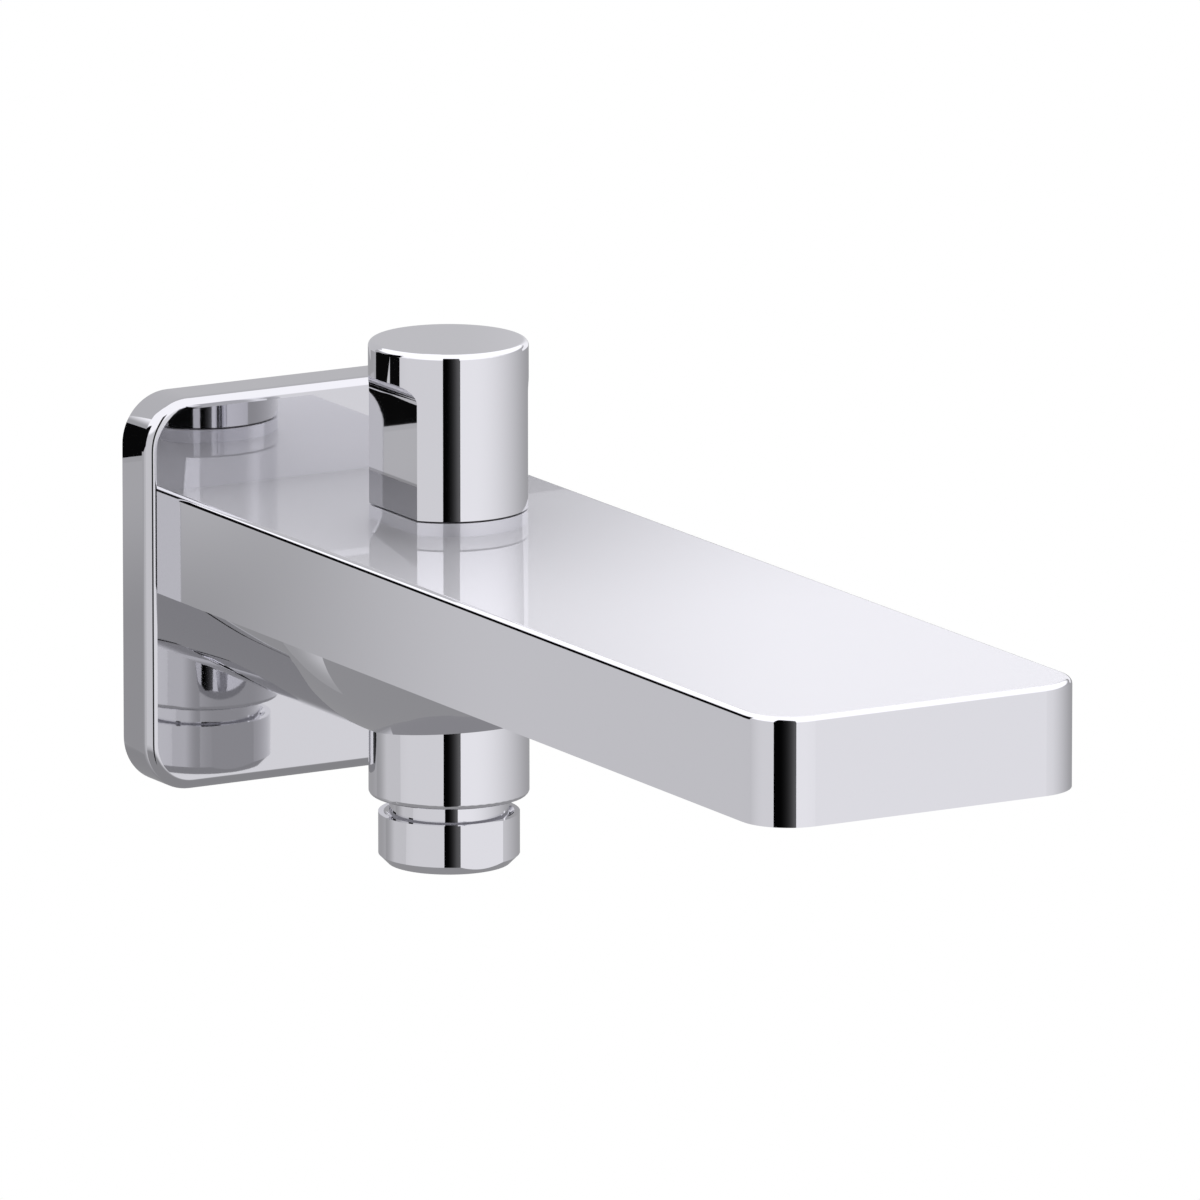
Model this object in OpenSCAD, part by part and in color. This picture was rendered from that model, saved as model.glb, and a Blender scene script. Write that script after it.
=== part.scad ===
// Wall spout with a lift diverter and a hand-shower outlet.
// X runs across the spout, -Y runs out from the wall, +Z is up.
// The wall is the plane Y = 0, and the plate is centred on the origin.

/* [Wall plate] */
// Side length of the square plate
plate_w = 75; // [73:1:95]
// Depth of the plate from the wall to its face
plate_t = 9.7; // [9:0.1:14]
// Radius of the plate's four corners
plate_corner_r = 9.5; // [6:0.5:14]
// Radius of the plate's front edge
plate_edge_r = 2; // [1:0.1:3]
// Thickness of the plate's rim
plate_rim = 2.4; // [2:0.1:4]
// Thickness of the plate's face
plate_face_t = 2.6; // [2:0.1:3.5]
// Thickness of the ribs behind the face
plate_rib_t = 2; // [1.5:0.1:4]
// Width of the foam gasket behind the rim
gasket_w = 3; // [2:0.1:5]
// Depth of the foam gasket
gasket_t = 3; // [2:0.1:3.5]

/* [Spout bar] */
// Width of the bar
bar_w = 67; // [64:1:72]
// Height of the bar
bar_h = 20.1; // [18:0.1:22]
// Height of the bar's top above the plate's centre
bar_top = 20.3; // [19:0.1:24]
// Reach of the bar from the plate's face to its tip
bar_reach = 223.4; // [190:0.1:260]
// Radius of the two upright corners at the tip
bar_corner_r = 9.5; // [6:0.5:14]
// Radius of the bar's top edge
bar_edge_r = 1.2; // [0.6:0.1:2]
// Thickness of the walls around the waterway
bar_wall = 3.2; // [2.6:0.1:4]

/* [Belly] */
// Radius of the belly, across and at its nose
belly_r = 36; // [35.5:0.1:38]
// Depth of the belly below the plate's centre
belly_drop = 22; // [20:0.1:24]
// How far the nose's centre lies behind the outlet's axis
nose_setback = 3.6; // [0:0.1:8]

/* [Outlet] */
// Distance of the knob and outlet axis from the plate's face
axis_out = 47.9; // [46:0.1:60]
// Diameter of the outlet boss
boss_d = 30; // [29:0.5:34]
// Depth of the boss's lower end below the plate's centre
boss_drop = 31.6; // [30:0.1:36]
// Radius of the boss's lower edge
boss_edge_r = 0.9; // [0.4:0.1:1.5]
// Diameter of the nipple's upper thread in the boss
nipple_d = 24; // [23.5:0.1:25]
// Diameter of the hose thread
hose_thread_d = 20.96; // [20:0.01:21]
// Diameter of the nipple's plain neck
neck_d = 22.4; // [21.6:0.1:22.6]
// Bore of the nipple and of both valve seats
seat_bore = 15; // [12:0.5:16]
// Width across the hexagon in the nipple's lower end
nipple_key = 15.6; // [15:0.1:16]

/* [Cap nut] */
// Diameter of the cap nut
cap_d = 26.4; // [25.8:0.1:28]
// Height of the cap nut
cap_h = 9.6; // [9:0.1:14]
// Gap between the boss and the cap nut
cap_gap = 3.4; // [1:0.1:4]
// Depth of each spanner flat
cap_flat_cut = 0.8; // [0.4:0.1:0.9]
// Height of the cone at the cap's lower edge
cap_chamfer = 1.7; // [0.5:0.1:2]
// Thickness of the cap's rim at its top
cap_rim = 1; // [1:0.1:1.3]
// Depth of the cone inside the cap's mouth
cap_mouth = 2; // [1:0.1:3]
// Thickness of the cap's floor
cap_floor_t = 2.4; // [2:0.1:3]
// Thickness of the cap's washer
cap_washer_t = 2; // [1.5:0.1:2.4]

/* [Knob] */
// Diameter of the knob
knob_d = 29.8; // [28:0.1:31]
// Height of the knob
knob_h = 31.4; // [30:0.1:40]
// Radius of the knob's top edge
knob_edge_r = 1.1; // [0.5:0.1:2]
// Distance of each finger grip from the axis
grip_half = 11.8; // [11.4:0.1:12.6]
// Height of the finger grips' flat part
grip_h = 21.8; // [18:0.1:24]
// Radius of the cove above each finger grip
grip_cove_r = 3.5; // [3.4:0.1:4.5]
// Diameter of the cavity under the knob
knob_cavity_d = 17; // [15:0.5:18]
// Depth of the cavity under the knob
knob_cavity_l = 18; // [10:0.5:20]
// Diameter of the hub that holds the stem
knob_hub_d = 10.5; // [9:0.5:11.5]

/* [Diverter valve] */
// Travel of the knob
lift = 8; // [6:0.5:8]
// Height of the collar under the knob
collar_h = 2.5; // [2:0.1:4]
// Diameter of the bonnet's thread
bonnet_d = 22; // [21:0.1:22.6]
// Thickness of the bonnet's gasket
bonnet_gasket_t = 1; // [0.6:0.1:1.5]
// Diameter of the stem
stem_d = 6; // [5:0.1:7]
// Diameter of the stem's thread under the plunger
stem_thread_d = 5; // [4:0.1:5]
// Depth that the stem goes into the knob
stem_grip = 22; // [20:0.5:24]
// Diameter of the stem's collar above the plunger
stem_collar_d = 10.4; // [10:0.1:12]
// Thickness of the stem's collar
stem_collar_t = 1.2; // [1:0.1:2]
// Diameter of the plunger
plunger_d = 20; // [19.4:0.1:21]
// Thickness of the plunger
plunger_t = 2.8; // [2:0.1:3.5]
// Diameter of the two seal washers
seal_d = 19.4; // [18.6:0.1:19.8]
// Thickness of the two seal washers
seal_t = 1.8; // [1.2:0.1:2.4]
// Diameter of the chamber around the plunger
chamber_d = 22.6; // [22:0.1:23.2]
// Thickness of the wall between the two chambers
web_t = 3; // [2:0.1:3.4]
// Height of the raised lip on each seat
lip_h = 1; // [0.6:0.1:1.4]
// Width of the raised lip on each seat
lip_w = 1.2; // [0.8:0.1:1.4]
// Width across the flats of the stem's nut
nut_af = 8; // [7:0.5:8.5]
// Thickness of the stem's nut
nut_t = 3.2; // [2:0.1:4]
// Wire diameter of the return spring
wire_d = 0.8; // [0.7:0.1:1.2]
// Mean diameter of the return spring
spring_d = 8.2; // [8:0.1:8.4]
// Number of turns of the return spring
spring_turns = 7; // [5:0.5:7]
// Cord thickness of the stem's O-rings
stem_ring_t = 1.7; // [1.2:0.1:2]

/* [Inlet] */
// Diameter of the adapter's body
adapter_d = 26; // [25:0.1:27]
// Length of the adapter from the wall to its inner end
adapter_l = 38; // [36:0.1:39]
// Width across the adapter's hexagon
adapter_af = 29; // [28:0.5:30]
// Depth of the adapter's hexagon
adapter_hex_l = 5; // [4:0.1:5.4]
// Diameter of the pipe thread in the adapter
pipe_thread_d = 20.96; // [20:0.01:21.2]
// Length of the pipe thread in the adapter
pipe_thread_l = 11; // [9:0.1:13]
// Thickness of the inlet washer
inlet_washer_t = 2; // [1.5:0.1:3]
// Bore through the adapter
inlet_bore = 14; // [12:0.1:15]
// Cord thickness of the adapter's O-rings
adapter_ring_t = 2.4; // [2:0.1:2.6]
// Diameter of the spigot that centres the spout in the plate
spigot_d = 36; // [34:0.5:36]
// Length of the spigot
spigot_l = 3.5; // [2:0.1:4]
// Diameter of the gallery from the inlet to the valve
gallery_d = 11; // [9:0.1:12]
// Diameter of the grub screw
grub_d = 6; // [5:0.5:6]
// Distance of the grub screw from the wall
grub_out = 26; // [24:0.1:28]
// Width across the grub screw's hexagon socket
grub_key = 3; // [2.5:0.1:3]

/* [Aerator] */
// Distance of the aerator's axis from the tip
aerator_setback = 21; // [18:0.5:40]
// Diameter of the aerator's thread
aerator_d = 24; // [22:0.1:26]
// Height of the aerator's housing
aerator_h = 8; // [7:0.1:9]
// How far the housing is sunk into the bar's underside
aerator_sink = 0.4; // [0.2:0.1:1]
// Thickness of the housing's wall
aerator_wall = 1.8; // [1.5:0.1:2.2]
// Width of the housing's lower lip
aerator_lip = 0.8; // [0.5:0.1:1.2]
// Thickness of the aerator's gasket
aerator_gasket_t = 1.6; // [1:0.1:2]
// Width across each hexagonal jet hole
jet_af = 1.7; // [1.2:0.1:1.9]
// Distance between the centres of the jet holes
jet_pitch = 2.5; // [2.3:0.1:3.5]
// Thickness of the jet plate
jet_plate_t = 2.2; // [1.5:0.1:3]

/* [Fits] */
// Radial play of a screwed or pushed joint
joint_play = 0.05; // [0.02:0.01:0.1]
// Radial play of the stem in the bonnet
slide_play = 0.05; // [0.02:0.01:0.1]
// Gap between a seal and its seat at either end of the travel
seat_gap = 0.05; // [0.02:0.01:0.2]
// Gap between the knob and the collar when the knob is down
knob_gap = 0.35; // [0.2:0.05:0.6]

/* [Hidden] */
$fn = 96;
eps = 0.01;

// Places along Y, counted out from the wall
axis_y = plate_t + axis_out;
tip_y = plate_t + bar_reach;
aerator_y = tip_y - aerator_setback;

// Heights of the bar and the belly
bar_bottom = bar_top - bar_h;
belly_z = belly_r - belly_drop;
floor_z = bar_bottom + bar_wall;
ceiling_z = bar_top - bar_wall;

// Heights of the valve, from the wall between the chambers down
upper_floor_z = floor_z - 1.4;
upper_seat_z = upper_floor_z - web_t - lip_h;
stack_h = 2 * seal_t + plunger_t;
lower_seat_z = upper_seat_z - 2 * seat_gap - stack_h - lift;
nipple_top_z = lower_seat_z - lip_h;
lower_seal_z = lower_seat_z + seat_gap;
plunger_z = lower_seal_z + seal_t;
upper_seal_z = plunger_z + plunger_t;
stem_collar_z = upper_seal_z + seal_t;

// Heights of the bonnet and the knob
bonnet_seat_z = bar_top - 10.3;
bonnet_end_z = bonnet_seat_z + bonnet_gasket_t;
collar_top = bar_top + collar_h;
knob_z = collar_top + knob_gap;
bonnet_boss_d = bonnet_d + 6;
spring_room_d = spring_d + wire_d + 0.8;
spring_top_z = bonnet_end_z + 2.6;
upper_bore_d = bonnet_d - 4;

// The cap nut
cap_top_z = -boss_drop - cap_gap;
cap_end_z = cap_top_z - cap_h;
cap_floor_z = cap_end_z + cap_floor_t;
cap_flat = cap_d / 2 - cap_flat_cut;
nipple_end_z = cap_floor_z + cap_washer_t;
nipple_l = -boss_drop - nipple_end_z;
neck_l = cap_gap + 0.3 * cap_mouth;

// The inlet
socket_end_y = adapter_l + 2;
shoulder_y = pipe_thread_l + inlet_washer_t;
gallery_z = (upper_seat_z - seat_gap + lower_seat_z) / 2 + 0.8;

// The plate's hollow
hollow_w = plate_w - 2 * plate_rim;
hollow_t = plate_t - plate_face_t;
hub_d = spigot_d + 6.8;

// The aerator
aerator_z = bar_bottom + aerator_sink;
aerator_gasket_z = aerator_z + aerator_h;
aerator_seat_z = aerator_gasket_z + aerator_gasket_t;
insert_d = aerator_d - 2 * aerator_wall - 0.2;

// Puts its children on the axis of the knob and the outlet
module at_valve(z = 0) {
    translate([0, -axis_y, z]) children();
}

// Puts its children on the aerator's axis
module at_aerator(z = 0) {
    translate([0, -aerator_y, z]) children();
}

// Turns its children from +Z to point out from the wall, starting y from it
module out_from_wall(y = 0) {
    translate([0, -y, 0]) rotate([90, 0, 0]) children();
}

// A flat ring that stands on z = 0
module ring(outer_d, inner_d, h) {
    difference() {
        cylinder(d = outer_d, h = h);
        translate([0, 0, -1]) cylinder(d = inner_d, h = h + 2);
    }
}

// An O-ring around the Z axis, centred on z = 0
module o_ring(mean_d, cord_d) {
    rotate_extrude() translate([mean_d / 2, 0]) circle(d = cord_d, $fn = 32);
}

// A hexagonal bar that stands on z = 0
module hexagon(af, h) {
    cylinder(d = af / cos(30), h = h, $fn = 6);
}

// A rectangle with round corners, centred on the origin
module rounded_rect(w, d, r) {
    square([w - 2 * r, d], center = true);
    square([w, d - 2 * r], center = true);
    for (x = [-1, 1], y = [-1, 1])
        translate([x * (w / 2 - r), y * (d / 2 - r)]) circle(r = r);
}

// A slab with round corners and a rolled upper edge
module rolled_slab(w, d, h, corner_r, edge_r) {
    linear_extrude(h - edge_r) rounded_rect(w, d, corner_r);
    linear_extrude(h) rounded_rect(w - 2 * edge_r, d - 2 * edge_r, corner_r - edge_r);
    for (side = [-1, 1]) {
        translate([side * (w / 2 - edge_r), 0, h - edge_r]) rotate([90, 0, 0])
            cylinder(r = edge_r, h = d - 2 * corner_r, center = true, $fn = 48);
        translate([0, side * (d / 2 - edge_r), h - edge_r]) rotate([0, 90, 0])
            cylinder(r = edge_r, h = w - 2 * corner_r, center = true, $fn = 48);
    }
    for (x = [-1, 1], y = [-1, 1])
        translate([x * (w / 2 - corner_r), y * (d / 2 - corner_r), h - edge_r]) rotate_extrude()
            translate([corner_r - edge_r, 0]) circle(r = edge_r, $fn = 48);
}

// A round post from z = 0 up whose upper edge is rolled
module rolled_post(d, h, edge_r) {
    rotate_extrude() {
        square([d / 2, h - edge_r]);
        square([d / 2 - edge_r, h]);
        translate([d / 2 - edge_r, h - edge_r]) intersection() {
            circle(r = edge_r, $fn = 48);
            square(edge_r);
        }
    }
}

// The square cover plate, hollow at the back, with a hub that centres the spout
module wall_plate() {
    color("gainsboro") difference() {
        out_from_wall() rolled_slab(plate_w, plate_w, plate_t, plate_corner_r, plate_edge_r);
        difference() {
            out_from_wall(-1) linear_extrude(hollow_t + 1)
                rounded_rect(hollow_w, hollow_w, plate_corner_r - plate_rim);
            out_from_wall(1.2) cylinder(d = hub_d, h = plate_t);
            for (turn = [0, 90]) rotate([0, turn, 0])
                translate([-plate_w / 2, -plate_t, -plate_rib_t / 2])
                    cube([plate_w, plate_t - gasket_t - 0.2, plate_rib_t]);
        }
        out_from_wall(-1) cylinder(d = spigot_d + 2 * joint_play, h = plate_t + 2);
    }
}

// The foam frame that seals the plate's rim to the wall
module plate_gasket() {
    outer_w = hollow_w - 2 * joint_play;
    outer_r = plate_corner_r - plate_rim - joint_play;
    color("dimgray") out_from_wall() difference() {
        linear_extrude(gasket_t) rounded_rect(outer_w, outer_w, outer_r);
        translate([0, 0, -1]) linear_extrude(gasket_t + 2)
            rounded_rect(outer_w - 2 * gasket_w, outer_w - 2 * gasket_w, outer_r - gasket_w);
    }
}

// Places of the two O-ring grooves along the adapter
ring_places = [shoulder_y + 5, adapter_l - 3.5];

// The brass adapter that screws on the wall's nipple
module inlet_adapter() {
    groove_w = adapter_ring_t + 0.6;
    color("darkkhaki") out_from_wall() difference() {
        union() {
            hexagon(adapter_af, adapter_hex_l);
            cylinder(d = adapter_d, h = adapter_l);
        }
        translate([0, 0, -1]) cylinder(d = pipe_thread_d, h = pipe_thread_l + 1);
        cylinder(d = pipe_thread_d - 0.6, h = shoulder_y);
        cylinder(d = inlet_bore, h = adapter_l + 1);
        for (y = ring_places) translate([0, 0, y - groove_w / 2])
            ring(adapter_d + 2, adapter_d - 2 * adapter_ring_t, groove_w);
        translate([0, 0, grub_out - grub_d / 2 - 0.5]) ring(adapter_d + 2, adapter_d - 2, grub_d + 1);
    }
}

module adapter_orings() {
    color("dimgray") for (y = ring_places)
        out_from_wall(y) o_ring(adapter_d - adapter_ring_t, adapter_ring_t - 2 * joint_play);
}

module inlet_washer() {
    color("dimgray") out_from_wall(pipe_thread_l)
        ring(pipe_thread_d - 0.6 - 2 * joint_play, inlet_bore, inlet_washer_t);
}

// Height of the belly's underside on the centreline
belly_bottom_z = -belly_drop;

// The screw that clamps the spout on the adapter
module grub_screw() {
    tip_z = -adapter_d / 2 + 1 - joint_play;
    foot_z = belly_bottom_z + 1;
    color("silver") translate([0, -grub_out, 0]) difference() {
        union() {
            translate([0, 0, foot_z]) cylinder(d = grub_d - 2 * joint_play, h = tip_z - foot_z - 1);
            translate([0, 0, tip_z - 1 - eps]) cylinder(d1 = grub_d - 1, d2 = grub_d - 2, h = 1 + eps);
        }
        translate([0, 0, foot_z - 1]) hexagon(grub_key, 4.5);
    }
}

// The bar, rolled along its top edge and round at the tip
module bar() {
    rear = 2 * bar_corner_r;
    difference() {
        translate([0, -(tip_y + plate_t - rear) / 2, bar_bottom])
            rolled_slab(bar_w, tip_y - plate_t + rear, bar_h, bar_corner_r, bar_edge_r);
        translate([-bar_w, -plate_t, bar_bottom - 1]) cube([2 * bar_w, rear + 1, bar_h + 2]);
    }
}

// The round-nosed fairing under the bar
module belly() {
    nose_y = axis_y - nose_setback;
    intersection() {
        translate([0, 0, belly_z]) union() {
            out_from_wall(plate_t) cylinder(r = belly_r, h = nose_y - plate_t, $fn = 180);
            translate([0, -nose_y, 0]) sphere(r = belly_r, $fn = 180);
        }
        translate([-bar_w / 2, -axis_y - belly_r, -belly_r])
            cube([bar_w, axis_y + belly_r - plate_t, belly_r + bar_bottom + bar_wall / 2]);
    }
}

// The round outlet boss under the belly
module boss() {
    boss_top = bar_bottom + bar_wall / 2;
    at_valve(boss_top) mirror([0, 0, 1]) rolled_post(boss_d, boss_top + boss_drop, boss_edge_r);
}

// The cored channel from the valve's upper chamber to the aerator
module waterway() {
    rear_y = axis_y - upper_bore_d / 2 - 3;
    front_y = tip_y - bar_wall;
    room_w = bar_w - 2 * bar_wall;
    room_r = bar_corner_r - bar_wall;
    difference() {
        translate([0, -(rear_y + front_y) / 2, floor_z]) linear_extrude(ceiling_z - floor_z)
            rounded_rect(room_w, front_y - rear_y, room_r);
        at_valve(bonnet_seat_z - 2) cylinder(d = bonnet_boss_d, h = bar_h);
        at_aerator(floor_z - 1) cylinder(d = aerator_d + 5, h = aerator_seat_z + 1.8 - floor_z + 1);
    }
}

// The stepped upright bore for the bonnet, the valve and the nipple
module valve_bore() {
    at_valve(bonnet_seat_z) cylinder(d = bonnet_d + 2 * joint_play, h = bar_h);
    at_valve(upper_floor_z) cylinder(d = upper_bore_d, h = bonnet_seat_z - upper_floor_z + 1);
    at_valve(upper_seat_z - 1) cylinder(d = seat_bore, h = web_t + lip_h + 2);
    at_valve(nipple_top_z - 1) difference() {
        cylinder(d = chamber_d, h = upper_seat_z + lip_h - nipple_top_z + 1);
        translate([0, 0, upper_seat_z - nipple_top_z + 1]) cylinder(d = seat_bore + 2 * lip_w, h = lip_h + 1);
    }
    at_valve(-boss_drop - 1) cylinder(d = nipple_d + 2 * joint_play, h = nipple_top_z + boss_drop + 1);
}

// The socket for the adapter, the gallery to the valve and the grub screw's hole
module inlet_bore_cut() {
    out_from_wall() cylinder(d = adapter_d + 2 * joint_play, h = socket_end_y);
    translate([0, 0, gallery_z]) out_from_wall(socket_end_y - 1)
        cylinder(d = gallery_d, h = axis_y - socket_end_y + 1);
    translate([0, -grub_out, -belly_drop - 1]) cylinder(d = grub_d, h = belly_drop);
}

// The hole in the bar's underside for the aerator
module aerator_bore() {
    at_aerator(bar_bottom - 1) cylinder(d = aerator_d + 2 * joint_play, h = aerator_seat_z - bar_bottom + 1);
    at_aerator(bar_bottom) cylinder(d = aerator_d - 6, h = ceiling_z - bar_bottom - eps);
}

// The cast body of the spout
module spout_body() {
    color("lightgray") difference() {
        union() {
            bar();
            belly();
            boss();
            out_from_wall(plate_t - spigot_l) cylinder(d = spigot_d, h = spigot_l + 1);
        }
        waterway();
        valve_bore();
        inlet_bore_cut();
        aerator_bore();
    }
}

// Cuts both finger grips: two flats, each with a cove above it
module grips(h, cove_r) {
    for (side = [0, 180]) rotate([0, 0, side]) translate([grip_half, -knob_d, 0]) {
        translate([0, 0, -1]) cube([knob_d, 2 * knob_d, h + 1]);
        if (cove_r > 0) intersection() {
            translate([cove_r, 0, h]) rotate([-90, 0, 0]) cylinder(r = cove_r, h = 2 * knob_d);
            translate([0, 0, h - 1]) cube([cove_r, 2 * knob_d, cove_r + 1]);
        }
    }
}

// The screwed bonnet with its collar, which has the knob's outline
module bonnet() {
    groove_h = stem_ring_t + 0.3;
    color("gainsboro") at_valve() difference() {
        union() {
            translate([0, 0, bonnet_end_z]) cylinder(d = bonnet_d, h = collar_top - bonnet_end_z);
            difference() {
                translate([0, 0, bar_top]) cylinder(d = knob_d, h = collar_h);
                translate([0, 0, bar_top]) grips(collar_h + 1, 0);
            }
        }
        translate([0, 0, bonnet_end_z - 1]) cylinder(d = stem_d + 2 * slide_play, h = bar_h);
        translate([0, 0, bonnet_end_z - 1]) cylinder(d = spring_room_d, h = spring_top_z - bonnet_end_z + 1);
        for (z = stem_ring_places) translate([0, 0, z - groove_h / 2])
            cylinder(d = stem_d + 2 * slide_play + 2 * stem_ring_t, h = groove_h);
    }
}

// Heights of the two O-ring grooves in the bonnet
stem_ring_places = [spring_top_z + 2.4, collar_top - 2.6];

module bonnet_gasket() {
    color("dimgray") at_valve(bonnet_seat_z) ring(bonnet_d, upper_bore_d, bonnet_gasket_t);
}

module stem_seals() {
    cord = stem_ring_t - 2 * joint_play;
    color("dimgray") for (z = stem_ring_places)
        at_valve(z) o_ring(stem_d + 2 * slide_play + stem_ring_t + 2 * joint_play, cord);
}

// The stem, with the collar that the spring pushes on
module diverter_stem() {
    foot_z = lower_seal_z - nut_t - 0.8;
    color("silver") at_valve() {
        translate([0, 0, stem_collar_z]) cylinder(d = stem_d, h = knob_z + stem_grip - stem_collar_z);
        translate([0, 0, stem_collar_z]) cylinder(d = stem_collar_d, h = stem_collar_t);
        translate([0, 0, foot_z]) cylinder(d = stem_thread_d, h = stem_collar_z - foot_z + eps);
    }
}

// The knob that is pulled up to send water to the hose
module diverter_knob() {
    hub_z = 4;
    color("gainsboro") at_valve(knob_z) difference() {
        rolled_post(knob_d, knob_h, knob_edge_r);
        grips(grip_h, grip_cove_r);
        difference() {
            translate([0, 0, -1]) cylinder(d = knob_cavity_d, h = knob_cavity_l + 1);
            translate([0, 0, hub_z]) cylinder(d = knob_hub_d, h = knob_cavity_l);
        }
        translate([0, 0, -1]) cylinder(d = stem_d + 2 * joint_play, h = stem_grip + 1 + joint_play);
    }
}

// The brass disc between the two seals, hollowed on both faces to hold them
module plunger() {
    color("darkkhaki") at_valve(plunger_z) ring(plunger_d, stem_thread_d + 2 * joint_play, plunger_t);
}

module upper_seal() {
    color("dimgray") at_valve(upper_seal_z) ring(seal_d, stem_thread_d + 2 * joint_play, seal_t);
}

module lower_seal() {
    color("dimgray") at_valve(lower_seal_z) ring(seal_d, stem_thread_d + 2 * joint_play, seal_t);
}

module stem_nut() {
    color("silver") at_valve(lower_seal_z - nut_t) difference() {
        hexagon(nut_af, nut_t);
        translate([0, 0, -1]) cylinder(d = stem_thread_d + 2 * joint_play, h = nut_t + 2);
    }
}

// The helix of the return spring, with a closed turn at each end
spring_sides = 8;
spring_steps = 16;
spring_rings = spring_turns * spring_steps;
spring_foot_z = stem_collar_z + stem_collar_t + wire_d / 2 + joint_play;
spring_head_z = spring_top_z - wire_d / 2 - joint_play;
spring_rise = spring_head_z - spring_foot_z - 2 * wire_d;
function spring_z(turn) = turn < 1 ? turn * wire_d
    : turn > spring_turns - 1 ? wire_d * (1 + turn - spring_turns + 1) + spring_rise
    : wire_d + (turn - 1) / (spring_turns - 2) * spring_rise;
function spring_point(i, k) = let (turn = i / spring_steps, a = 360 * turn,
    b = 360 * k / spring_sides, r = (spring_d + wire_d * cos(b)) / 2)
    [r * cos(a), r * sin(a), spring_foot_z + spring_z(turn) + wire_d / 2 * sin(b)];

module return_spring() {
    points = [for (i = [0:spring_rings], k = [0:spring_sides - 1]) spring_point(i, k)];
    sides = [for (i = [0:spring_rings - 1], k = [0:spring_sides - 1])
        let (a = i * spring_sides, b = a + spring_sides, n = (k + 1) % spring_sides)
        [a + k, b + k, b + n, a + n]];
    ends = [[for (k = [0:spring_sides - 1]) k],
        [for (k = [spring_sides - 1:-1:0]) spring_rings * spring_sides + k]];
    color("silver") at_valve() polyhedron(points, concat(sides, ends), convexity = 8);
}

// The nipple: its top is the lower valve seat, its lower end takes the hose
module hose_outlet() {
    groove_h = 2.4;
    color("gainsboro") at_valve() difference() {
        union() {
            translate([0, 0, -boss_drop]) cylinder(d = nipple_d, h = nipple_top_z + boss_drop);
            translate([0, 0, nipple_end_z]) cylinder(d = hose_thread_d, h = nipple_l + 1);
            translate([0, 0, -boss_drop - neck_l]) cylinder(d = neck_d, h = neck_l + 1);
            translate([0, 0, nipple_top_z - 1]) cylinder(d = seat_bore + 2 * lip_w, h = lip_h + 1);
        }
        translate([0, 0, nipple_end_z - 1]) cylinder(d = seat_bore, h = lower_seat_z - nipple_end_z + 2);
        translate([0, 0, nipple_end_z - 1]) hexagon(nipple_key, nipple_l);
        translate([0, 0, outlet_ring_z - groove_h / 2]) ring(nipple_d + 2, nipple_d - 3.6, groove_h);
    }
}

// Height of the O-ring around the nipple
outlet_ring_z = nipple_top_z - 3.5;

module outlet_oring() {
    cord = 1.8;
    color("dimgray") at_valve(outlet_ring_z) o_ring(nipple_d - cord, cord - 2 * joint_play);
}

// The cap nut that closes the hose outlet
module outlet_cap() {
    bore = hose_thread_d + 2 * joint_play;
    color("gainsboro") at_valve() difference() {
        union() {
            translate([0, 0, cap_end_z + cap_chamfer]) cylinder(d = cap_d, h = cap_h - cap_chamfer);
            translate([0, 0, cap_end_z])
                cylinder(d1 = cap_d - 2 * cap_chamfer, d2 = cap_d, h = cap_chamfer + eps);
        }
        translate([0, 0, cap_floor_z]) cylinder(d = bore, h = cap_h);
        translate([0, 0, cap_top_z - cap_mouth])
            cylinder(d1 = bore, d2 = cap_d - 2 * cap_rim, h = cap_mouth + eps);
        for (side = [-1, 1]) translate([-cap_d, side * (cap_flat + cap_d) - cap_d, cap_end_z - 1])
            cube([2 * cap_d, 2 * cap_d, cap_h + 2]);
    }
}

module cap_washer() {
    color("dimgray") at_valve(cap_floor_z) cylinder(d = hose_thread_d - 0.4, h = cap_washer_t);
}

// The threaded ring that holds the aerator, with four slots for its key
module aerator_housing() {
    slot_w = 2;
    color("gainsboro") at_aerator(aerator_z) difference() {
        cylinder(d = aerator_d, h = aerator_h);
        translate([0, 0, 1]) cylinder(d = aerator_d - 2 * aerator_wall, h = aerator_h);
        translate([0, 0, -1]) cylinder(d = aerator_d - 2 * aerator_wall - 2 * aerator_lip, h = aerator_h);
        for (turn = [0, 90]) rotate([0, 0, turn])
            translate([-aerator_d, -slot_w / 2, -1]) cube([2 * aerator_d, slot_w, 1.8]);
    }
}

// The jet insert: a cup whose floor is a honeycomb of holes
module aerator_insert() {
    cup_wall = 1.2;
    reach = insert_d / 2 - cup_wall - jet_af * 0.6;
    row_h = jet_pitch * cos(30);
    rows = floor(reach / row_h);
    color("whitesmoke") at_aerator(aerator_z + 1) difference() {
        cylinder(d = insert_d, h = aerator_h - 1);
        translate([0, 0, jet_plate_t]) cylinder(d = insert_d - 2 * cup_wall, h = aerator_h);
        for (row = [-rows:rows], col = [-rows - 2:rows + 2]) {
            x = (col + abs(row % 2) / 2) * jet_pitch;
            y = row * row_h;
            if (norm([x, y]) < reach) translate([x, y, -1]) rotate([0, 0, 30])
                hexagon(jet_af, jet_plate_t + 2);
        }
    }
}

module aerator_gasket() {
    color("dimgray") at_aerator(aerator_gasket_z) ring(aerator_d, aerator_d - 6, aerator_gasket_t);
}

wall_plate();
plate_gasket();
inlet_adapter();
adapter_orings();
inlet_washer();
grub_screw();
spout_body();
bonnet();
bonnet_gasket();
stem_seals();
diverter_stem();
diverter_knob();
plunger();
upper_seal();
lower_seal();
stem_nut();
return_spring();
hose_outlet();
outlet_oring();
outlet_cap();
cap_washer();
aerator_housing();
aerator_insert();
aerator_gasket();
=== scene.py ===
import math

import bpy
from mathutils import Matrix, Vector

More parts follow.
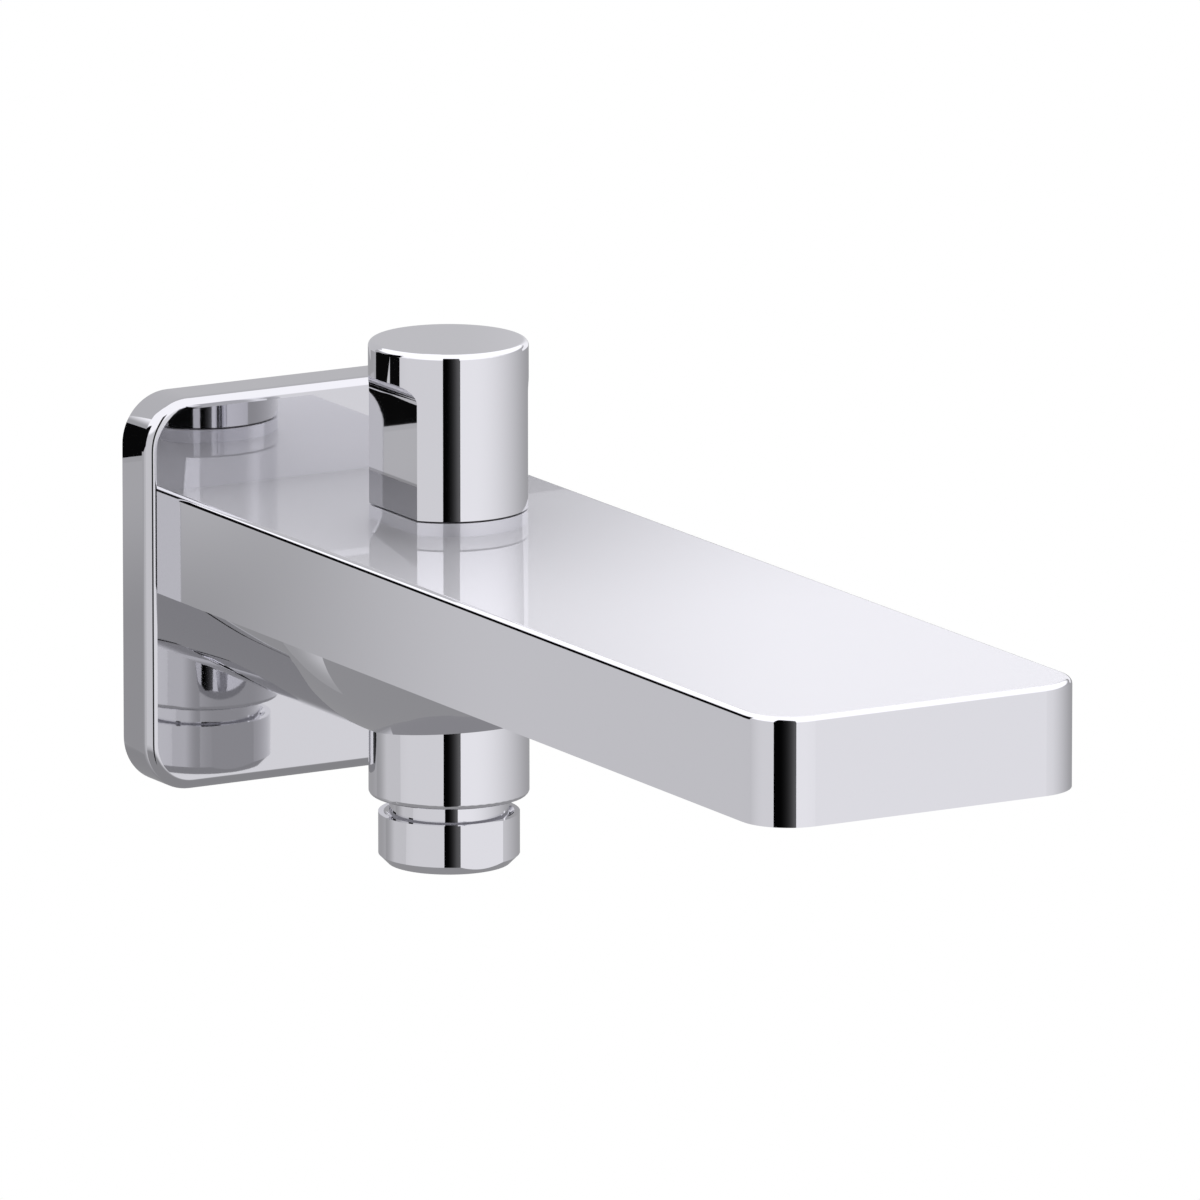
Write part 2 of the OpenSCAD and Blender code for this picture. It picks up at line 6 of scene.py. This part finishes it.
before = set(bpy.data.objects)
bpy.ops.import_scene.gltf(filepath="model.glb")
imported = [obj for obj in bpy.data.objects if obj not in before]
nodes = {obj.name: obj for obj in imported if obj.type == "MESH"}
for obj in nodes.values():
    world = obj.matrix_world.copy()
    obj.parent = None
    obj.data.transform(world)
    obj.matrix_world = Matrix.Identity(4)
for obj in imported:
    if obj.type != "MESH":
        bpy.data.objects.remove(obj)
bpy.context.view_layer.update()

MM = 0.001


# Shader maths: a socket with arithmetic on it


class Wire:
    """An output socket, or a number, in one node tree."""

    def __init__(self, tree, out):
        self.tree, self.out = tree, out

    def _do(self, operation, *others):
        return self.tree.maths(operation, self, *others)

    def __add__(self, other):
        return self._do("ADD", other)

    def __sub__(self, other):
        return self._do("SUBTRACT", other)

    def __mul__(self, other):
        return self._do("MULTIPLY", other)

    def __truediv__(self, other):
        return self._do("DIVIDE", other)

    def __radd__(self, other):
        return self.tree.maths("ADD", other, self)

    def __rsub__(self, other):
        return self.tree.maths("SUBTRACT", other, self)

    def __rmul__(self, other):
        return self.tree.maths("MULTIPLY", other, self)

    def __pow__(self, other):
        return self._do("POWER", other)

    def above(self, other):
        return self._do("GREATER_THAN", other)

    def clamp(self):
        return self.tree.node("ShaderNodeClamp", Value=self)["Result"]

    def smooth(self, low, high):
        """0 at low, 1 at high, smooth between; high may be the lower number."""
        made = self.tree.node("ShaderNodeMapRange", dict(interpolation_type="SMOOTHSTEP"),
                              **{"Value": self, "From Min": low, "From Max": high})
        return made["Result"]

    def band(self, middle, half, soft):
        """1 within half of middle, 0 outside, with soft edges."""
        away = (self - middle)._do("ABSOLUTE")
        return away.smooth(half + soft / 2, half - soft / 2)


class Tree:
    """A material's or the world's node tree."""

    def __init__(self, owner):
        owner.use_nodes = True
        self.raw = owner.node_tree
        self.raw.nodes.clear()

    def node(self, kind, settings=None, **sockets):
        made = self.raw.nodes.new(kind)
        for name, value in (settings or {}).items():
            setattr(made, name, value)
        for name, value in sockets.items():
            self.plug(made.inputs[name], value)
        return {s.name: Wire(self, s) for s in made.outputs}

    def plug(self, socket, value):
        if isinstance(value, Wire):
            self.raw.links.new(value.out, socket)
        else:
            socket.default_value = value

    def maths(self, operation, *values):
        made = self.raw.nodes.new("ShaderNodeMath")
        made.operation = operation
        for socket, value in zip(made.inputs, values):
            self.plug(socket, value)
        return Wire(self, made.outputs[0])

    def mix(self, share, a, b):
        """The colour a where share is 0 and b where it is 1."""
        made = self.raw.nodes.new("ShaderNodeMix")
        made.data_type = "RGBA"
        for name, value in (("Factor_Float", share), ("A_Color", a), ("B_Color", b)):
            socket = next(s for s in made.inputs if s.identifier == name)
            if name != "Factor_Float" and not isinstance(value, Wire):
                value = (*value, 1)
            self.plug(socket, value)
        return Wire(self, next(s for s in made.outputs if s.identifier == "Result_Color"))

    def place(self):
        """Where a point lies on the object, in metres: x, y, z and the vector itself."""
        at = self.node("ShaderNodeTexCoord")["Object"]
        cut = self.node("ShaderNodeSeparateXYZ", Vector=at)
        return cut["X"], cut["Y"], cut["Z"], at

    def facing(self):
        """The surface's own direction: x, y and z."""
        cut = self.node("ShaderNodeSeparateXYZ", Vector=self.node("ShaderNodeNewGeometry")["Normal"])
        return cut["X"], cut["Y"], cut["Z"]

    def noise(self, at, scale, detail=3.0):
        return self.node("ShaderNodeTexNoise", Vector=at, Scale=scale, Detail=detail)["Fac"]

    def bump(self, height, distance, strength=1.0):
        return self.node("ShaderNodeBump", Height=height, Distance=distance, Strength=strength)["Normal"]

    def shader(self, **sockets):
        return self.node("ShaderNodeBsdfPrincipled", **sockets)["BSDF"]

    def blend(self, share, a, b):
        made = self.raw.nodes.new("ShaderNodeMixShader")
        for socket, value in zip(made.inputs, (share, a, b)):
            self.plug(socket, value)
        return Wire(self, made.outputs[0])

    def finish(self, shader, kind="ShaderNodeOutputMaterial"):
        made = self.raw.nodes.new(kind)
        self.plug(made.inputs["Surface"], shader)


def new_material(name):
    material = bpy.data.materials.new(name)
    return material, Tree(material)


def wear(name, material):
    """Gives a CAD node its finish."""
    mesh = nodes[name].data
    mesh.materials.clear()
    mesh.materials.append(material)


# Camera, at the place the photograph was taken from


def place_camera():
    azimuth, elevation = math.radians(29.8325), math.radians(12.5164)
    right = Vector((math.cos(azimuth), -math.sin(azimuth), 0))
    back = Vector((-math.sin(azimuth) * math.cos(elevation),
                   -math.cos(azimuth) * math.cos(elevation), math.sin(elevation)))
    up = back.cross(right)
    spot = Vector((0, -57.646, 0)) + back * 3974.7 + right * 28.07 + up * 4.98
    data = bpy.data.cameras.new("camera")
    data.lens, data.sensor_width = 641.98, 36
    data.clip_start, data.clip_end = 0.1, 60
    camera = bpy.data.objects.new("camera", data)
    axes = Matrix((right, up, back)).transposed().to_4x4()
    camera.matrix_world = Matrix.Translation(spot * MM) @ axes
    bpy.context.scene.collection.objects.link(camera)
    bpy.context.scene.camera = camera
    return right, up, back


view_right, view_up, view_back = place_camera()


# Studio


def light_world():
    """A white room. Polished metal sees pale walls in front, darker ends behind and a bright ceiling."""
    world = bpy.data.worlds.new("studio")
    bpy.context.scene.world = world
    tree = Tree(world)
    at = tree.node("ShaderNodeTexCoord")["Generated"]
    cut = tree.node("ShaderNodeSeparateXYZ", Vector=at)
    x, y, z = cut["X"], cut["Y"], cut["Z"]
    ahead = x * -0.4975 + y * -0.8675
    aside = x * 0.8675 + y * -0.4975
    turn = tree.maths("ARCTAN2", aside, ahead) * (180 / math.pi)
    left, right = turn.smooth(-150.0, -55.0), turn.smooth(165.0, 35.0)
    level = 0.36 + 0.34 * tree.maths("MINIMUM", left, right) + 0.18 * right * turn.smooth(5.0, 15.0)
    below = z.smooth(-0.27, -0.42)
    level = level + (0.30 - level) * below
    ceiling = z.smooth(0.28, 0.42)
    level = level + (1.2 - level) * ceiling
    ray = tree.node("ShaderNodeLightPath")
    colour = tree.node("ShaderNodeCombineColor", Red=level, Green=level * 0.995, Blue=level * 1.03)["Color"]
    seen = tree.mix(ray["Is Camera Ray"], colour, (1, 1, 1))
    out = tree.node("ShaderNodeBackground", Color=seen, Strength=1.0)["Background"]
    tree.finish(out, "ShaderNodeOutputWorld")


light_world()


def card(name, corners, level):
    """A card that only polished metal sees. corners are in millimetres. level gives its brightness from a tree."""
    material, tree = new_material(name)
    glow = level(tree)
    tint = tree.node("ShaderNodeCombineColor", Red=glow, Green=glow * 0.995, Blue=glow * 1.03)["Color"]
    tree.finish(tree.node("ShaderNodeEmission", Color=tint, Strength=1.0)["Emission"])
    mesh = bpy.data.meshes.new(name)
    mesh.from_pydata([Vector(c) * MM for c in corners], [], [tuple(range(len(corners)))])
    mesh.materials.append(material)
    sheet = bpy.data.objects.new(name, mesh)
    bpy.context.scene.collection.objects.link(sheet)
    sheet.visible_camera = False
    sheet.visible_diffuse = False
    sheet.visible_shadow = False
    sheet.visible_transmission = False
    return sheet


def ahead_of_knob(distance, aside, z):
    """A place in front of the knob: so far towards the camera, and so far to the camera's right."""
    level = Vector((view_back.x, view_back.y, 0)).normalized()
    return Vector((0, -57.6, z)) + level * distance + view_right * aside


def dark_strip():
    """The tall dark strip beside the camera, which runs down the knob, the outlet and the tip."""
    near, far = (316, -40), (1000, 307)
    corners = [ahead_of_knob(*near, -330), ahead_of_knob(*far, -330),
               ahead_of_knob(*far, 900), ahead_of_knob(*near, 350)]
    start = ahead_of_knob(*near, 0)

    def level(tree):
        x, y, z, at = tree.place()
        out = ((x - start.x * MM) * view_right.x + (y - start.y * MM) * view_right.y) / ((far[1] - near[1]) * MM)
        return 0.001 + 0.11 * out.smooth(0.05, 0.85)

    card("dark_strip", corners, level)


dark_strip()


def wall_left():
    """The dim wall behind on the left, lighter away from the plate, which the bar's long side mirrors."""
    corners = [(-52, 30, -130), (-420, 30, -130), (-420, 30, 17), (-52, 30, 17)]

    def level(tree):
        x, y, z, at = tree.place()
        return 0.35 + 0.24 * x.smooth(-0.055, -0.13) + 0.12 * z.smooth(-0.015, 0.012) * x.smooth(-0.09, -0.06)

    card("wall_left", corners, level)


def wall_dark():
    """The dark wedge above it, which draws the line along the bar's upper left edge."""
    corners = [(-50, 30, 18), (-420, 30, 18), (-420, 30, 330), (-50, 30, 38)]
    card("wall_dark", corners, lambda tree: tree.place()[2] * 0.0 + 0.003)


def wall_right():
    """The wall straight behind and on the right, lighter away from the plate, which level tops mirror."""
    corners = [(-49, 30, 39), (500, 30, 39), (500, 30, 112), (-49, 30, 112)]

    def level(tree):
        x, y, z, at = tree.place()
        return 0.56 + 0.42 * x.smooth(0.05, 0.13)

    card("wall_right", corners, level)


wall_left()
wall_dark()
wall_right()


def lay_floor():
    """The pale floor, which is only looked at from above."""
    material, tree = new_material("floor")
    ray = tree.node("ShaderNodeLightPath")
    back_side = tree.node("ShaderNodeNewGeometry")["Backfacing"]
    white = tree.node("ShaderNodeEmission", Color=(1, 1, 1, 1), Strength=1.0)["Emission"]
    pale = tree.shader(**{"Base Color": (0.8, 0.8, 0.8, 1), "Roughness": 0.9})
    clear = tree.node("ShaderNodeBsdfTransparent")["BSDF"]
    out = tree.blend(ray["Is Camera Ray"], pale, white)
    out = tree.blend(ray["Is Glossy Ray"], out, clear)
    tree.finish(tree.blend(back_side, out, clear))
    mesh = bpy.data.meshes.new("floor")
    reach, low = 4.0, -0.45
    mesh.from_pydata([(-reach, -reach, low), (reach, -reach, low), (reach, reach, low), (-reach, reach, low)],
                     [], [(0, 1, 2, 3)])
    mesh.materials.append(material)
    floor = bpy.data.objects.new("floor", mesh)
    bpy.context.scene.collection.objects.link(floor)


lay_floor()


# Finishes


CHROME = (0.86, 0.858, 0.885)


def smudged(tree, at):
    """The roughness of wiped chrome."""
    return 0.02 + 0.012 * tree.noise(at, 60.0)


def ripple(tree, at):
    """The faint unevenness of a polished casting."""
    return tree.bump(tree.noise(at, 220.0, 2.0), 0.0000012)


def chrome(name, base=CHROME):
    material, tree = new_material(name)
    at = tree.place()[3]
    tree.finish(tree.shader(**{
        "Base Color": (*base, 1), "Metallic": 1.0, "Roughness": smudged(tree, at), "Normal": ripple(tree, at)}))
    return material


def knob_chrome():
    """Chrome whose round side leans back a little, and whose grips carry painted shade near the bar: their flats
    are darker below 30 mm.
    """
    material, tree = new_material("knob_chrome")
    x, y, z, at = tree.place()
    nx, ny, nz = tree.facing()
    steep = 1.0 - nz.above(0.3)
    flat = nx._do("ABSOLUTE").above(0.97)
    lean = steep * (1.0 - flat) * (1.0 - (z * -1.0).above(0.0)) * 0.11
    up = tree.node("ShaderNodeCombineXYZ", X=nx, Y=ny, Z=nz + lean)["Vector"]
    leaning = tree.node("ShaderNodeVectorMath", dict(operation="NORMALIZE"))
    tree.plug(leaning["Vector"].out.node.inputs[0], up)
    skin = tree.node("ShaderNodeBump", Height=tree.noise(at, 220.0, 2.0), Distance=0.0000012,
                     Normal=leaning["Vector"])["Normal"]
    # Painted shade: the grip flats below 30 mm get a darker colour, standing in for a darker reflection there.
    dim = flat * z.smooth(0.0302, 0.0298)
    dark = tuple(c * 0.62 for c in CHROME)
    tree.finish(tree.shader(**{
        "Base Color": tree.mix(dim, CHROME, dark), "Metallic": 1.0, "Roughness": smudged(tree, at),
        "Normal": skin}))
    return material


def body_chrome(name):
    """Polished metal whose level top only mirrors faintly and carries painted shade, darker near the plate and
    lighter towards the tip; its sides are as polished as the rest.
    """
    material, tree = new_material(name)
    x, y, z, at = tree.place()
    polished = tree.shader(**{"Base Color": (*CHROME, 1), "Metallic": 1.0, "Roughness": smudged(tree, at),
                              "Normal": ripple(tree, at)})
    # Painted shade: the level top's colour runs from darker by the plate to lighter towards the tip.
    out = y.smooth(-0.01, -0.16)
    soft = tree.shader(**{"Base Color": tree.mix(out, (0.60, 0.598, 0.62), (0.81, 0.808, 0.83)), "Metallic": 1.0,
                          "Roughness": 0.6 + 0.05 * tree.noise(at, 90.0)})
    up = tree.facing()[2].smooth(0.96, 0.999)
    tree.finish(tree.blend(up * 0.66, polished, soft))
    return material


def bare_brass():
    material, tree = new_material("bare_brass")
    x, y, z, at = tree.place()
    stain = tree.noise(at, 150.0, 5.0).smooth(0.4, 0.75)
    tree.finish(tree.shader(**{
        "Base Color": tree.mix(stain, (0.78, 0.60, 0.30), (0.56, 0.40, 0.19)), "Metallic": 1.0,
        "Roughness": 0.22 + 0.2 * stain, "Normal": tree.bump(tree.noise(at, 900.0, 2.0), 0.00001)}))
    return material


def turned_steel():
    material, tree = new_material("turned_steel")
    x, y, z, at = tree.place()
    lines = tree.maths("SINE", z * 26000.0)
    tree.finish(tree.shader(**{
        "Base Color": (0.64, 0.64, 0.66, 1), "Metallic": 1.0,
        "Roughness": 0.2 + 0.08 * tree.noise(at, 300.0), "Normal": tree.bump(lines, 0.000002)}))
    return material


def dull(name, colour, other, roughness, grain, height):
    """Rubber, foam, fibre or plastic: two close colours in a fine grain."""
    material, tree = new_material(name)
    x, y, z, at = tree.place()
    spots = tree.noise(at, grain, 4.0)
    tree.finish(tree.shader(**{
        "Base Color": tree.mix(spots.smooth(0.35, 0.7), colour, other), "Roughness": roughness,
        "Normal": tree.bump(spots, height)}))
    return material


polish = chrome("polished_chrome")
for name in ("hose_outlet", "outlet_cap", "aerator_housing"):
    wear(name, polish)
wear("diverter_knob", knob_chrome())
# Painted shade: the plate's chrome gets a darker colour than the other chrome, to tone down its reflections.
wear("wall_plate", chrome("plate_chrome", (0.75, 0.748, 0.772)))
body_metal = body_chrome("body_chrome")
wear("spout_body", body_metal)
wear("bonnet", body_metal)
brass = bare_brass()
for name in ("inlet_adapter", "plunger"):
    wear(name, brass)
steel = turned_steel()
for name in ("grub_screw", "diverter_stem", "stem_nut", "return_spring"):
    wear(name, steel)
black_rubber = dull("black_rubber", (0.018, 0.018, 0.02), (0.035, 0.035, 0.038), 0.55, 900.0, 0.00002)
for name in ("adapter_orings", "inlet_washer", "stem_seals", "upper_seal", "lower_seal", "outlet_oring",
             "cap_washer", "aerator_gasket"):
    wear(name, black_rubber)
wear("plate_gasket", dull("grey_foam", (0.07, 0.07, 0.075), (0.14, 0.14, 0.15), 0.9, 1400.0, 0.00012))
wear("bonnet_gasket", dull("red_fibre", (0.36, 0.09, 0.07), (0.25, 0.06, 0.05), 0.8, 1800.0, 0.00003))
wear("aerator_insert", dull("pale_plastic", (0.72, 0.73, 0.75), (0.66, 0.67, 0.69), 0.38, 700.0, 0.00001))


view = bpy.context.scene.view_settings
view.view_transform = "Standard"
